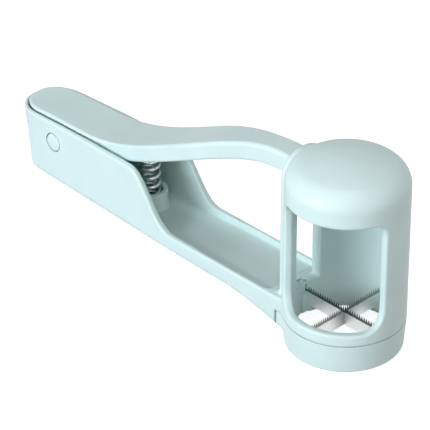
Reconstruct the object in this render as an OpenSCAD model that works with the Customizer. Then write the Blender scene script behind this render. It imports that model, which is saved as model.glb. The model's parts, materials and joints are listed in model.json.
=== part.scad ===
// Tomato slicer. A squeeze lever swings a lobed pusher down a windowed barrel
// onto two crossed serrated blades held in a ring below the barrel.
// Millimetres, +Z up, +X from the handle towards the barrel.
// The origin is on the barrel's axis, level with the foot of the blade ring.
// Places along the handle are given as distances behind the barrel's axis.

/* [Barrel] */
// Outer radius of the barrel and of the blade ring
barrel_r = 21; // [20:0.5:24]
// Wall of the barrel, of its dome and of the ring
barrel_wall = 3; // [2.6:0.1:3.6]
// Height of the crown of the dome
dome_top = 71; // [66:0.5:80]
// Radius of the dome's shoulder
shoulder_r = 7.4; // [5:0.1:11]
// Radius of the dome's crown
crown_r = 60; // [38:1:90]

/* [Loading window] */
// Height of the window's sill
sill_z = 15; // [14.6:0.1:20]
// Drop of the window's head below the crown of the dome
window_drop = 14.5; // [12:0.1:20]
// Bearing of the front jamb, clockwise from the front
window_from = 6.5; // [2:0.5:20]
// Bearing of the rear jamb, clockwise from the front
window_to = 122; // [100:0.5:124]
// Corner radius at the sill
window_sill_r = 7.5; // [3:0.5:9]
// Corner radius at the head
window_head_r = 4.5; // [2:0.5:8]

/* [Rear frame and slot] */
// Distance of the frame's flat rear face behind the barrel
frame_proud = 0.2; // [0:0.1:2]
// Half width of the frame
frame_half_w = 9.6; // [8.6:0.1:11]
// Drop of the frame's top below the crown of the dome
frame_drop = 4; // [2:0.1:5]
// Corner radius of the frame's top
frame_corner_r = 7; // [3:0.5:7]
// Rounding of the frame's rear edge
frame_edge_r = 1.5; // [0.6:0.1:2]
// Half width of the slot for the lever
slot_half_w = 6; // [5.6:0.1:7]
// Corner radius at the foot of the slot
slot_foot_r = 2; // [1:0.1:3]

/* [Handle tray] */
// Half width of the handle along the tray
handle_half_w = 13.05; // [12.4:0.05:15]
// Half width of the handle at its rear end
rear_half_w = 11.4; // [10.8:0.1:14]
// Distance of the handle's rear end behind the axis
handle_back = 156.6; // [154:0.1:166]
// Plan radius of the handle's rear corners
handle_corner_r = 10.8; // [8:0.1:10.8]
// Wall of the tray
handle_wall = 2.4; // [2:0.1:3]
// Wall of the handle's rear end
rear_wall = 1.5; // [1.4:0.1:3]
// Height of the tray's rim
tray_rim_z = 13.2; // [12.8:0.1:15]
// Height of the rim of the rear walls
wall_rim_z = 32.2; // [30:0.1:33]
// Fall of the rim and of the lever's top towards the rear end
rear_fall = 1; // [0:0.1:2]
// Distance behind the axis where that fall begins
rear_fall_start = 118; // [110:1:130]
// Distance behind the axis where the rim begins to rise
sweep_start = 71; // [60:1:76]
// Length over which the rim rises
sweep_run = 24; // [18:1:32]
// Height of the underside where its straight run begins
under_front_z = 5.5; // [3:0.1:6]
// Height of the underside at the rear end
under_rear_z = 7.8; // [5:0.1:9.5]
// Distance behind the axis where the underside's straight run begins
under_bend = 47; // [40:1:60]
// Distance in front of the barrel's rear where the underside meets the ring's foot
under_inset = 5; // [4:0.5:7]
// Rounding along the underside
under_r = 3; // [1.5:0.1:3.4]
// Rounding along the outside of the rim
rim_r = 0.9; // [0.4:0.1:1.4]
// Distance by which the rear end's foot stands in front of its rim
rear_setback = 4.4; // [0:0.1:5]
// Distance of the recess's front wall behind the barrel
recess_gap = 3.6; // [2.6:0.1:8]
// Plan radius of the recess's front corners
recess_corner_r = 4.5; // [2:0.5:6]
// Height of the recess's floor towards the rear
floor_rear_z = 9; // [8.6:0.1:9.6]
// Height of the recess's floor at its front
floor_front_z = 10.8; // [9.8:0.1:11.4]
// Rounding between floor and walls
floor_r = 1.6; // [0.6:0.1:2]

/* [Blade ring] */
// Height of the parting line between the ring and the barrel
ring_h = 10.6; // [10:0.1:11.4]
// Narrowing of the ring towards its foot
ring_draft = 0.7; // [0:0.1:0.8]
// Rounding of the ring's foot
ring_foot_r = 0.7; // [0.3:0.1:0.8]
// Open seam between the ring and the barrel
seam = 0.15; // [0.1:0.05:0.3]
// Open gap behind the ring's tongue
tongue_gap = 0.6; // [0.4:0.1:1]
// Distance of the tongue's rear face in front of the barrel's rear
tongue_inset = 1.7; // [1.5:0.1:2.2]
// Height of the parting line along the tongue
tongue_h = 7.6; // [7:0.1:8.4]
// Length over which the parting line climbs from the tongue to the barrel
parting_run = 5.5; // [3:0.5:7]
// Wall of the spigot that enters the barrel
spigot_wall = 1.6; // [1.2:0.1:1.8]
// Width of the locating key at the back of the spigot
key_w = 1.8; // [1.4:0.1:4]
// Reach of the locating key beyond the spigot
key_reach = 1.5; // [0.6:0.1:1.6]
// Height of the locating key
key_h = 4; // [3:0.1:5]
// Width of the four lugs that hold the blade ends
lug_w = 4.6; // [3.6:0.1:6]
// Inward reach of the lugs from the ring's bore
lug_reach = 0.9; // [0.6:0.1:2]
// Height of the underside of the lugs
lug_low_z = 2.5; // [2.4:0.1:4]
// Drop of the top of the lugs below the roots of the teeth
lug_drop = 1.2; // [0.2:0.1:2]
// Widening of the ring's bore at its outlet
outlet_step = 1.2; // [0.8:0.1:1.3]
// Depth of the wider outlet
outlet_depth = 2.2; // [1.5:0.1:2.3]

/* [Blades] */
// Thickness of the blade strip
blade_t = 0.5; // [0.4:0.05:0.8]
// Height of the blades' lower edge
blade_low_z = 5.7; // [5.4:0.1:7]
// Height of the roots of the teeth
tooth_root_z = 11.6; // [11:0.1:13.2]
// Height of the teeth
tooth_h = 1.3; // [0.8:0.1:1.5]
// Number of teeth along one blade
tooth_count = 32; // [20:1:40]
// Depth to which a blade's end enters its lug
blade_seat = 1.5; // [0.8:0.1:1.7]

/* [Lever] */
// Height of the lever's flat rear part
lever_rear_top = 34.1; // [33:0.1:34.5]
// Drop of the lever's top at the barrel below the crown of the dome
lever_drop = 7.2; // [6.8:0.1:10]
// Distance behind the axis where the lever's top begins to rise
lever_rise_back = 120; // [112:1:126]
// Distance behind the axis where the lever's top stops rising
lever_rise_front = 25.6; // [24:0.1:34]
// Depth of the lever from top to underside
lever_depth = 6.9; // [6:0.1:7.2]
// Half width of the lever's neck in the slot
neck_half_w = 4.9; // [4:0.1:5.2]
// Half width of the lever's grip
grip_half_w = 9.4; // [7.6:0.1:9.6]
// Gap between the lever and the handle's rear walls
lever_gap = 0.45; // [0.3:0.05:0.8]
// Rounding of the lever's upper edges
lever_top_r = 2; // [0.8:0.1:2.4]
// Rounding of the lever's lower edges
lever_under_r = 0.8; // [0.3:0.1:1.2]
// Distance behind the axis where the lever's grip begins to narrow
grip_rear = 70; // [64:0.5:86]
// Distance behind the axis where the lever has narrowed to its neck
grip_front = 29.5; // [26:0.5:40]
// Distance behind the axis where the lever widens to its rear part
paddle_front = 108; // [104:0.5:114]

/* [Pivot] */
// Distance of the pivot in front of the handle's rear end
pivot_inset = 23; // [20:0.1:26]
// Height of the pivot
pivot_z = 24; // [23:0.1:24.6]
// Radius of the steel pin
pin_r = 2; // [1.5:0.1:2.5]
// Running clearance of the pin in the lever's hub
pin_play = 0.05; // [0.02:0.01:0.09]
// Radius of the lever's hub
hub_r = 4.8; // [4:0.1:5.4]
// Radius of the caps over the pin's ends
cap_r = 3.5; // [3:0.05:4.5]
// Thickness of the caps
cap_t = 0.8; // [0.5:0.1:1]
// Open seam round each cap
cap_seam = 0.1; // [0.05:0.05:0.2]

/* [Return spring] */
// Distance of the spring's axis behind the barrel's axis
spring_back = 95; // [93:0.5:97]
// Outer radius of the spring
spring_r = 3.9; // [3.5:0.1:4.1]
// Wire diameter
wire_d = 1.2; // [0.9:0.05:1.25]
// Working turns
spring_turns = 4; // [3:1:5]
// Closed turns at each end
spring_end_turns = 1; // [1:1:2]
// Pitch of the closed turns, as wire diameters
end_pitch_share = 1.4; // [1.36:0.01:1.5]
// Outer radius of the cup that holds the spring's foot
cup_r = 6.2; // [5.6:0.1:7]
// Height of the cup's rim
cup_top = 17.2; // [15:0.1:17.6]
// Height of the cup's floor
cup_floor = 11.2; // [10.4:0.1:11.6]
// Radial room between the spring and its cup
cup_play = 0.5; // [0.3:0.05:0.8]
// Depth of the spring's seat below the lever
seat_drop = 1.2; // [0.8:0.1:1.5]

/* [Pusher] */
// Room round the pusher in the barrel's bore
pusher_room = 5; // [4.8:0.1:7]
// Height of the pusher
pusher_h = 9; // [8.4:0.1:9.2]
// Height of the pusher's face when the lever is fully squeezed
pusher_low_z = 11; // [10.6:0.1:11.6]
// Drop of the pusher's top at rest below the crown of the dome
pusher_drop = 10.64; // [10.2:0.02:12]
// Width of the slots that let the blades into the pusher
pusher_slot_w = 2.4; // [2:0.1:3.2]
// Depth of those slots
pusher_slot_h = 5; // [4.4:0.1:5.2]
// Bevel round the pusher's top
pusher_bevel = 1.5; // [0.5:0.1:2]
// Depth of the lever's shoe above the pusher
shoe_h = 4.5; // [4.2:0.1:4.8]
// Radius of the screw's shank
screw_r = 1.2; // [1:0.1:1.4]
// Radius of the screw's head
screw_head_r = 2.3; // [2:0.1:2.6]
// Height of the screw's head
screw_head_h = 1.5; // [1.2:0.1:1.6]
// Length of the screw's shank
screw_len = 5.6; // [5:0.1:6]

/* [Hidden] */

// Colours of the moulded plastic, the blades and the steel parts
plastic = [0.80, 0.90, 0.89];
plastic_inner = [0.74, 0.85, 0.84];
blade_steel = [0.80, 0.81, 0.82];
wire_steel = [0.45, 0.46, 0.47];
// Fineness of round surfaces that matter, and of small rounds
fine = 96;
// One overrun for every cut
over = 1;
// Loose clearance between seated pieces of one body
seat_play = 0.05;

bore_r = barrel_r - barrel_wall;
frame_back = barrel_r + frame_proud;
frame_top = dome_top - frame_drop;
window_top = dome_top - window_drop;
lever_front_top = dome_top - lever_drop;
recess_front = barrel_r + recess_gap;
tongue_back = barrel_r - tongue_inset;
under_dive = barrel_r - under_inset;
// The spigot reaches the level of the tray's rim, which makes the floor of the slot
spigot_r = bore_r + spigot_wall;
spigot_top = tray_rim_z;
// Open gap between the lever and the head of the slot
neck_gap = 0.35;
slot_top = lever_front_top + neck_gap;
inner_half_w = handle_half_w - handle_wall;
rear_inner_half_w = rear_half_w - rear_wall;
inner_corner_r = handle_corner_r - rear_wall;
inner_back = handle_back - rear_wall;
paddle_half_w = rear_inner_half_w - lever_gap;
paddle_corner_r = inner_corner_r - lever_gap;
paddle_back = inner_back - lever_gap;
corner_start = handle_back - handle_corner_r;
pivot_back = handle_back - pivot_inset;
pusher_r = bore_r - pusher_room;
pusher_top_z = pusher_low_z + pusher_h;
pusher_rest_z = dome_top - pusher_drop;
tooth_tip_z = tooth_root_z + tooth_h;
blade_half = bore_r - lug_reach + blade_seat;
lug_top_z = tooth_root_z - lug_drop;
// Steps of the roundings along the handle and the lever, in degrees
round_steps = [0, 30, 60, 90];

function clamp01(t) = max(0, min(1, t));
function smooth(t) = let (c = clamp01(t)) c * c * (3 - 2 * c);
function smoother(t) = let (c = clamp01(t)) c * c * c * (c * (6 * c - 15) + 10);

// Swing of the lever, from the heights of the pusher at rest and at full squeeze
pusher_arm = norm([pivot_back, pivot_z - pusher_top_z]);
squeeze_angle = asin((pusher_rest_z - pivot_z) / pusher_arm) + asin((pivot_z - pusher_top_z) / pusher_arm);

// Half widths of the handle outside and inside, which narrow from the sweep to the rear
function taper(x) = clamp01((-x - sweep_start) / (corner_start - sweep_start));
function outer_half(x) = handle_half_w + (rear_half_w - handle_half_w) * taper(x);
function inner_half(x) = inner_half_w + (rear_inner_half_w - inner_half_w) * taper(x);

// Rim of the handle: low along the tray, then sweeping up to the rear walls
function rear_drop(x) = rear_fall * smooth((-x - rear_fall_start) / (handle_back - rear_fall_start));
function rim_z(x) = tray_rim_z + (wall_rim_z - tray_rim_z) * smoother((-x - sweep_start) / sweep_run)
    - rear_drop(x);

// Underside of the handle: a straight run that dives to the foot of the ring
function under_line(x) =
    under_front_z + (under_rear_z - under_front_z) * (-x - under_bend) / (handle_back - under_bend);
function under_z(x) =
    under_line(x) * sin(90 * clamp01((-x - under_dive) / (under_bend - under_dive)));

// Floor of the recess, rising gently towards the barrel
function floor_z(x) = floor_rear_z
    + (floor_front_z - floor_rear_z) * (1 - clamp01((-x - recess_front) / (sweep_start - recess_front)));

// Lever: top, underside and half width
function lever_top_z(x) = lever_rear_top + (lever_front_top - lever_rear_top)
    * smooth((x + lever_rise_back) / (lever_rise_back - lever_rise_front))
    - rear_drop(x);
function lever_under_z(x) = lever_top_z(x) - lever_depth;
function lever_half_w(x) = -x < grip_rear
    ? neck_half_w + (grip_half_w - neck_half_w) * smooth((-x - grip_front) / (grip_rear - grip_front))
    : grip_half_w + (inner_half(x) - lever_gap - grip_half_w)
        * smooth((-x - grip_rear) / (paddle_front - grip_rear));

// Inset and height of each step of a rounding of radius r, from the flat face outwards
function round_inset(r, a) = r * (1 - sin(a));
function round_rise(r, a) = r * (1 - cos(a));

// Solid that is mirrored across the XZ plane. rows[j][k] is a point with y > 0:
// j runs from front to back and k from the lowest to the highest point of a section.
module mirrored_skin(rows) {
    n = len(rows);
    m = len(rows[0]);
    near = [for (row = rows) for (p = row) [p.x, -p.y, p.z]];
    far = [for (row = rows) for (p = row) p];
    function a(j, k) = j * m + k;
    function b(j, k) = n * m + j * m + k;
    sides = [for (j = [0:n - 2]) for (k = [0:m - 2]) each [
        [a(j, k), a(j + 1, k), a(j + 1, k + 1)],
        [a(j, k), a(j + 1, k + 1), a(j, k + 1)],
        [b(j, k), b(j + 1, k + 1), b(j + 1, k)],
        [b(j, k), b(j, k + 1), b(j + 1, k + 1)]]];
    lids = [for (j = [0:n - 2]) each [
        [a(j, 0), b(j, 0), b(j + 1, 0)],
        [a(j, 0), b(j + 1, 0), a(j + 1, 0)],
        [a(j, m - 1), b(j + 1, m - 1), b(j, m - 1)],
        [a(j, m - 1), a(j + 1, m - 1), b(j + 1, m - 1)]]];
    ends = [for (k = [0:m - 2]) each [
        [a(0, k), a(0, k + 1), b(0, k + 1)],
        [a(0, k), b(0, k + 1), b(0, k)],
        [a(n - 1, k), b(n - 1, k + 1), a(n - 1, k + 1)],
        [a(n - 1, k), b(n - 1, k), b(n - 1, k + 1)]]];
    polyhedron(points = concat(near, far), faces = concat(sides, lids, ends), convexity = 8);
}

// Stations along a curved stretch, as distances behind the axis
function stretch(from, to, count) = [for (i = [0:count]) from + (to - from) * i / count];

// Plan corner of radius r about [-back + r, half_w - r], inset by d
function plan_corner(back, half_w, r, d, a) =
    [-(back - r) - (r - d) * sin(a), half_w - r + (r - d) * cos(a)];
corner_steps = [15, 30, 45, 60, 75, 90];

// Lean of the rear end: a point at height z moves forward below the rim
function raked(p, z) = [p.x + rear_setback * (wall_rim_z - z) / (wall_rim_z - under_rear_z)
    * smooth((-p.x - corner_start) / (handle_corner_r - 2 * rear_wall)), p.y, z];

// One section of the handle's outside at plan point x, or in the rear corner at angle a
function handle_section(x, a) = [for (s = [for (t = round_steps) [under_r, t, 0],
                                           for (t = [90:-30:0]) [rim_r, t, 1]])
    let (d = round_inset(s[0], s[1]),
         q = a < 0 ? [x, outer_half(x) - d] : plan_corner(handle_back, rear_half_w, handle_corner_r, d, a),
         z = s[2] == 0 ? under_z(q.x) + round_rise(s[0], s[1]) : rim_z(q.x) - round_rise(s[0], s[1]))
    raked(q, z)];

handle_stations = concat(
    stretch(under_dive - barrel_wall, under_bend, 10),
    [sweep_start - sweep_run / 2],
    stretch(sweep_start, sweep_start + sweep_run, 14),
    [(sweep_start + sweep_run + corner_start) / 2, corner_start]);

module handle_outside() {
    mirrored_skin(concat([for (s = handle_stations) handle_section(-s, -1)],
                         [for (a = corner_steps) handle_section(0, a)]));
}

// The recess inside the handle, cut out from its floor up past the rim
function recess_section(x, a, front) = [for (s = [for (t = round_steps) [t, 0], [90, 1]])
    let (d = round_inset(floor_r, s[0]),
         c = front ? plan_corner(-recess_front, inner_half_w, recess_corner_r, d, a)
                   : plan_corner(inner_back, rear_inner_half_w, inner_corner_r, d, a),
         q = a < 0 ? [x, inner_half(x) - d] : front ? [-recess_front - recess_corner_r
             + (recess_corner_r - d) * sin(a), c.y] : c,
         z = s[1] == 0 ? floor_z(q.x) + round_rise(floor_r, s[0]) : rim_z(q.x) + over)
    raked(q, z)];

recess_stations = concat(
    [recess_front + recess_corner_r, under_bend, sweep_start - sweep_run / 2],
    stretch(sweep_start, sweep_start + sweep_run, 14),
    [(sweep_start + sweep_run + corner_start) / 2, corner_start]);

module recess() {
    mirrored_skin(concat([for (i = [len(corner_steps) - 1:-1:0]) recess_section(0, corner_steps[i], true)],
                         [for (s = recess_stations) recess_section(-s, -1, false)],
                         [for (a = corner_steps) recess_section(0, a, false)]));
}

// Half profile of the barrel and its dome, inset by d, from the height low
function dome_profile(d, low) =
    let (spring_z = dome_top - crown_r + sqrt(pow(crown_r - shoulder_r, 2) - pow(barrel_r - shoulder_r, 2)),
         tip = asin((barrel_r - shoulder_r) / (crown_r - shoulder_r)))
    concat([[0, low], [barrel_r - d, low]],
           [for (i = [0:8]) let (t = (90 - tip) * i / 8)
               [barrel_r - shoulder_r + (shoulder_r - d) * cos(t), spring_z + (shoulder_r - d) * sin(t)]],
           [for (i = [1:4]) let (t = tip * (1 - i / 4))
               [(crown_r - d) * sin(t), dome_top - crown_r + (crown_r - d) * cos(t)]]);

module barrel_outside() {
    rotate_extrude($fn = fine) polygon(dome_profile(0, tongue_h - over));
}

module chamber() {
    rotate_extrude($fn = fine) polygon(dome_profile(barrel_wall, -over));
}

// Arched frame with a flat rear face, which carries the slot
function frame_section(x, d) = concat(
    [[x, frame_half_w - d, tongue_h]],
    [for (a = [0:15:90]) [x, frame_half_w - frame_corner_r + (frame_corner_r - d) * cos(a),
                          frame_top - frame_corner_r + (frame_corner_r - d) * sin(a)]]);

module rear_frame() {
    front = barrel_r - 2 * barrel_wall;
    mirrored_skin(concat([frame_section(-front, 0)],
        [for (i = [len(round_steps) - 1:-1:0]) let (t = round_steps[i])
            frame_section(-frame_back + round_rise(frame_edge_r, t), round_inset(frame_edge_r, t))]));
}

// Slot for the lever, open from the frame into the chamber
module slot() {
    depth = frame_back - bore_r / 2;
    translate([-frame_back - over, 0, 0]) rotate([90, 0, 90])
        linear_extrude(depth + over) {
            translate([-slot_half_w, tray_rim_z + slot_foot_r])
                square([2 * slot_half_w, slot_top - tray_rim_z - slot_foot_r]);
            translate([-slot_half_w + slot_foot_r, tray_rim_z])
                square([2 * (slot_half_w - slot_foot_r), 2 * slot_foot_r]);
            for (side = [-1, 1])
                translate([side * (slot_half_w - slot_foot_r), tray_rim_z + slot_foot_r])
                    circle(slot_foot_r, $fn = fine);
        }
}

// Loading window: a tool that fans out from the axis, with rounded corners
window_middle_share = 0.1;
module window() {
    half = (window_to - window_from) / 2;
    reach = 3 * barrel_r;
    sill_a = window_sill_r / barrel_r * 180 / PI;
    head_a = window_head_r / barrel_r * 180 / PI;
    edge = concat([[half * window_middle_share, sill_z]],
        [for (t = [0:15:90]) [half - sill_a * (1 - sin(t)), sill_z + window_sill_r * (1 - cos(t))]],
        [for (t = [0:15:90]) [half - head_a * (1 - cos(t)), window_top - window_head_r * (1 - sin(t))]],
        [[half * window_middle_share, window_top]]);
    rotate([0, 0, -(window_from + window_to) / 2])
        mirrored_skin([for (r = [reach, bore_r / 3]) [for (e = edge) [r * cos(e[0]), r * sin(e[0]), e[1]]]]);
}

// Parting line between ring and barrel: level round the barrel, with a step down
// to the tongue where the barrel's side runs into the handle's
parting_back = sqrt(pow(barrel_r, 2) - pow(handle_half_w, 2));
function parting_z(x) = tongue_h + (ring_h - tongue_h) * smooth((x + parting_back) / parting_run);

// All that lies below the parting line and in front of the distance back
module below_parting(back, lift) {
    wide = barrel_r + over;
    rotate([90, 0, 0]) linear_extrude(2 * wide, center = true)
        polygon(concat([[wide, -over], [-back, -over], [-back, tongue_h + lift]],
                       [for (i = [0:8]) let (x = -parting_back + parting_run * i / 8) [x, parting_z(x) + lift]],
                       [[wide, ring_h + lift]]));
}

// Space taken by the ring and its spigot below and inside the barrel
module ring_space() {
    below_parting(tongue_back + tongue_gap, seam);
    cylinder(r = spigot_r + seam, h = spigot_top + seam, $fn = fine);
    key(seam);
}

module key(play) {
    translate([-spigot_r - key_reach - play, -key_w / 2 - play, spigot_top - key_h - play])
        cube([key_reach + spigot_wall / 2 + play, key_w + 2 * play, key_h + 2 * play]);
}

// Outer faces of the pivot's caps, flush with the handle's sides, and the ends of the lever's hub
cap_y = outer_half(-pivot_back);
hub_y = inner_half(-pivot_back) - lever_gap;

// A cylinder across the handle, centred on the pivot
module across(r, from, to) {
    translate([-pivot_back, from, pivot_z]) rotate([-90, 0, 0]) cylinder(r = r, h = to - from, $fn = fine);
}

module spring_cup() {
    translate([-spring_back, 0, floor_rear_z - handle_wall / 2])
        cylinder(r = cup_r, h = cup_top - floor_rear_z + handle_wall / 2, $fn = fine);
}

module body() {
    color(plastic) difference() {
        union() {
            difference() {
                union() {
                    barrel_outside();
                    rear_frame();
                    handle_outside();
                }
                recess();
            }
            spring_cup();
        }
        chamber();
        window();
        slot();
        ring_space();
        across(pin_r + seat_play, -handle_half_w, handle_half_w);
        across(cap_r + cap_seam, cap_y - cap_t, cap_y + over);
        across(cap_r + cap_seam, -cap_y - over, -cap_y + cap_t);
        translate([-spring_back, 0, cup_floor])
            cylinder(r = spring_r + cup_play, h = cup_top - cup_floor + over, $fn = fine);
    }
}

// Outer wall of the ring as a revolved profile, with a rounded foot
module ring_wall() {
    centre = [barrel_r - ring_draft - ring_foot_r, ring_foot_r];
    rotate_extrude($fn = fine)
        polygon(concat([[barrel_r, ring_h], [bore_r, ring_h], [bore_r, 0]],
                       [for (t = [0:15:90]) centre + ring_foot_r * [sin(t), -cos(t)]]));
}

module spigot() {
    rotate_extrude($fn = fine)
        translate([bore_r, tongue_h / 2]) square([spigot_wall, spigot_top - tongue_h / 2]);
}

// Front end of the handle's form that belongs to the ring
module tongue() {
    difference() {
        handle_outside();
        translate([0, 0, -over]) cylinder(r = (bore_r + barrel_r) / 2, h = ring_h + 2 * over, $fn = fine);
    }
}

module lugs() {
    intersection() {
        for (a = [0:90:270])
            rotate([0, 0, a]) translate([bore_r - lug_reach, -lug_w / 2, lug_low_z])
                cube([lug_reach + spigot_wall / 2, lug_w, lug_top_z - lug_low_z]);
        translate([0, 0, lug_low_z]) cylinder(r = bore_r + spigot_wall / 2, h = lug_top_z, $fn = fine);
    }
}

module blade_ring() {
    color(plastic) difference() {
        union() {
            intersection() {
                union() {
                    ring_wall();
                    tongue();
                }
                below_parting(tongue_back, 0);
            }
            spigot();
            lugs();
            key(0);
        }
        translate([0, 0, -over])
            cylinder(r = bore_r + outlet_step, h = outlet_depth + over, $fn = fine);
        for (a = [0, 90])
            rotate([0, 0, a])
                translate([-blade_half - seat_play, -blade_t / 2 - seat_play, blade_low_z - seat_play])
                    cube([2 * (blade_half + seat_play), blade_t + 2 * seat_play, tooth_tip_z]);
    }
}

// Serrated strip along X, with a half-deep slot for the other blade
module blade_strip(slot_up) {
    pitch = 2 * (bore_r - lug_reach) / tooth_count;
    start = -pitch * tooth_count / 2;
    mid_z = (blade_low_z + tooth_root_z) / 2;
    slot_w = blade_t + 2 * seat_play;
    teeth = [for (i = [0:tooth_count - 1]) each [[start + i * pitch, tooth_root_z],
                                                 [start + (i + 0.5) * pitch, tooth_tip_z]]];
    outline = concat([[-blade_half, blade_low_z], [-blade_half, tooth_root_z]], teeth,
                     [[-start, tooth_root_z], [blade_half, tooth_root_z], [blade_half, blade_low_z]]);
    translate([0, blade_t / 2, 0]) rotate([90, 0, 0]) linear_extrude(blade_t) difference() {
        polygon(outline);
        translate([-slot_w / 2, slot_up ? mid_z - seat_play : blade_low_z - over])
            square([slot_w, tooth_tip_z - mid_z + 2 * seat_play + over]);
    }
}

module blade_long() {
    color(blade_steel) blade_strip(true);
}

module blade_cross() {
    color(blade_steel) rotate([0, 0, 90]) blade_strip(false);
}

// Turns what is drawn in the fully squeezed position back to rest
module from_squeezed() {
    translate([-pivot_back, 0, pivot_z]) rotate([0, -squeeze_angle, 0])
        translate([pivot_back, 0, -pivot_z]) children();
}

// One section of the lever, inset by d all round; a is the angle in a rear corner
function lever_section(x, a, d) = [for (s = [for (t = round_steps) [lever_under_r, t, 0],
                                             for (t = [90:-30:0]) [lever_top_r, t, 1]])
    let (i = d + round_inset(s[0], s[1]),
         q = a < 0 ? [x, lever_half_w(x) - i] : plan_corner(paddle_back, paddle_half_w, paddle_corner_r, i, a),
         z = s[2] == 0 ? lever_under_z(q.x) + round_rise(s[0], s[1])
                       : lever_top_z(q.x) - round_rise(s[0], s[1]))
    raked(q, z)];

lever_neck_front = bore_r / 2;
lever_stations = concat([lever_neck_front],
    stretch(lever_rise_front, lever_rise_back, 22), [corner_start]);

module lever_outside() {
    mirrored_skin(concat([for (s = lever_stations) lever_section(-s, -1, 0)],
                         [for (a = corner_steps) lever_section(0, a, 0)]));
}

// Hollow under the paddle that keeps its walls even
function pocket_row(back, half, roof) =
    [for (z = [lever_under_z(-back) - over, roof]) raked([-back, half], z)];

module paddle_pocket() {
    roof = lever_rear_top - rear_fall - handle_wall;
    half = paddle_half_w - handle_wall;
    mirrored_skin([pocket_row(spring_back + 2 * spring_r, half, roof), pocket_row(corner_start, half, roof),
                   pocket_row(paddle_back - handle_wall, half - paddle_corner_r + 2 * handle_wall, roof)]);
}

// Flat shoe on which the pusher is screwed, drawn in the squeezed position
module shoe() {
    translate([0, 0, pusher_top_z]) cylinder(r = neck_half_w, h = shoe_h, $fn = fine);
    translate([-lever_neck_front, -neck_half_w, pusher_top_z]) cube([lever_neck_front, 2 * neck_half_w, shoe_h]);
}

spring_seat_z = lever_under_z(-spring_back) - seat_drop;

module lever() {
    color(plastic) difference() {
        union() {
            difference() {
                lever_outside();
                paddle_pocket();
            }
            across(hub_r, -hub_y, hub_y);
            translate([-spring_back, 0, spring_seat_z])
                cylinder(r = spring_r + wire_d, h = lever_depth / 2 + seat_drop, $fn = fine);
            translate([-spring_back, 0, spring_seat_z - 2 * wire_d])
                cylinder(r = spring_r - wire_d - cup_play, h = lever_depth / 2, $fn = fine);
            from_squeezed() shoe();
        }
        // Room for the pusher below the shoe
        from_squeezed() translate([-pusher_r - seat_play, -pusher_r, 0])
            cube([3 * pusher_r, 2 * pusher_r, pusher_top_z]);
        across(pin_r + pin_play, -handle_half_w, handle_half_w);
        from_squeezed() translate([0, 0, pusher_top_z - over])
            cylinder(r = screw_r + seat_play, h = over + screw_len - screw_grip + seat_play, $fn = fine);
    }
}

// Thickness of the pusher that the screw clamps
screw_grip = pusher_h - pusher_slot_h - screw_head_h - seat_play;

module pusher() {
    color(plastic_inner) from_squeezed() difference() {
        union() {
            translate([0, 0, pusher_low_z]) cylinder(r = pusher_r, h = pusher_h - pusher_bevel, $fn = fine);
            translate([0, 0, pusher_top_z - pusher_bevel])
                cylinder(r1 = pusher_r, r2 = pusher_r - pusher_bevel, h = pusher_bevel, $fn = fine);
        }
        for (a = [0, 90])
            rotate([0, 0, a]) translate([-pusher_r - over, -pusher_slot_w / 2, pusher_low_z - over])
                cube([2 * (pusher_r + over), pusher_slot_w, pusher_slot_h + over]);
        cylinder(r = screw_r + seat_play, h = pusher_top_z + over, $fn = fine);
        translate([0, 0, pusher_low_z - over])
            cylinder(r = screw_head_r + seat_play, h = over + pusher_h - screw_grip, $fn = fine);
    }
}

module pusher_screw() {
    color(wire_steel) from_squeezed() difference() {
        union() {
            translate([0, 0, pusher_top_z - screw_grip - screw_head_h])
                cylinder(r = screw_head_r, h = screw_head_h, $fn = fine);
            translate([0, 0, pusher_top_z - screw_grip - seat_play])
                cylinder(r = screw_r, h = screw_len, $fn = fine);
        }
        for (a = [0, 90])
            rotate([0, 0, a]) translate([0, 0, pusher_top_z - screw_grip - screw_head_h])
                cube([screw_head_r, screw_r / 2, screw_head_h], center = true);
    }
}

module pivot_pin() {
    half = cap_y - cap_t - seat_play;
    color(blade_steel) across(pin_r, -half, half);
}

module pivot_cap_near() {
    color(plastic) across(cap_r, -cap_y, -cap_y + cap_t);
}

module pivot_cap_far() {
    color(plastic) across(cap_r, cap_y - cap_t, cap_y);
}

// Centre line of the return spring, bottom to top: closed end turns and wider working turns,
// with each end running straight for one wire diameter
wire_r = wire_d / 2;
coil_r = spring_r - wire_r;
end_pitch = wire_d * end_pitch_share;
spring_low = cup_floor + wire_r + seat_play;
spring_high = spring_seat_z - wire_r - seat_play;
rings_per_turn = 8;
turns_all = spring_turns + 2 * spring_end_turns;
work_pitch = (spring_high - spring_low - 2 * end_pitch * spring_end_turns) / spring_turns;
// Bearing of the wire's lower end
spring_phase = 20;
function coil_rise(t) =
    t < spring_end_turns ? end_pitch * t
    : t < spring_end_turns + spring_turns ? end_pitch * spring_end_turns + work_pitch * (t - spring_end_turns)
    : spring_high - spring_low - end_pitch * (turns_all - t);
function coil_point(t) = let (a = spring_phase + 360 * t)
    [coil_r * cos(a), coil_r * sin(a), spring_low + coil_rise(t)];
function coil_way(t) = let (a = spring_phase + 360 * t) [-sin(a), cos(a), 0];
spring_path = concat(
    [coil_point(0) - wire_d * coil_way(0)],
    [for (i = [0:turns_all * rings_per_turn]) coil_point(i / rings_per_turn)],
    [coil_point(turns_all) + wire_d * coil_way(turns_all)]);

function unit(v) = v / norm(v);
function way(path, i) = unit(path[min(len(path) - 1, i + 1)] - path[max(0, i - 1)]);

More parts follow.
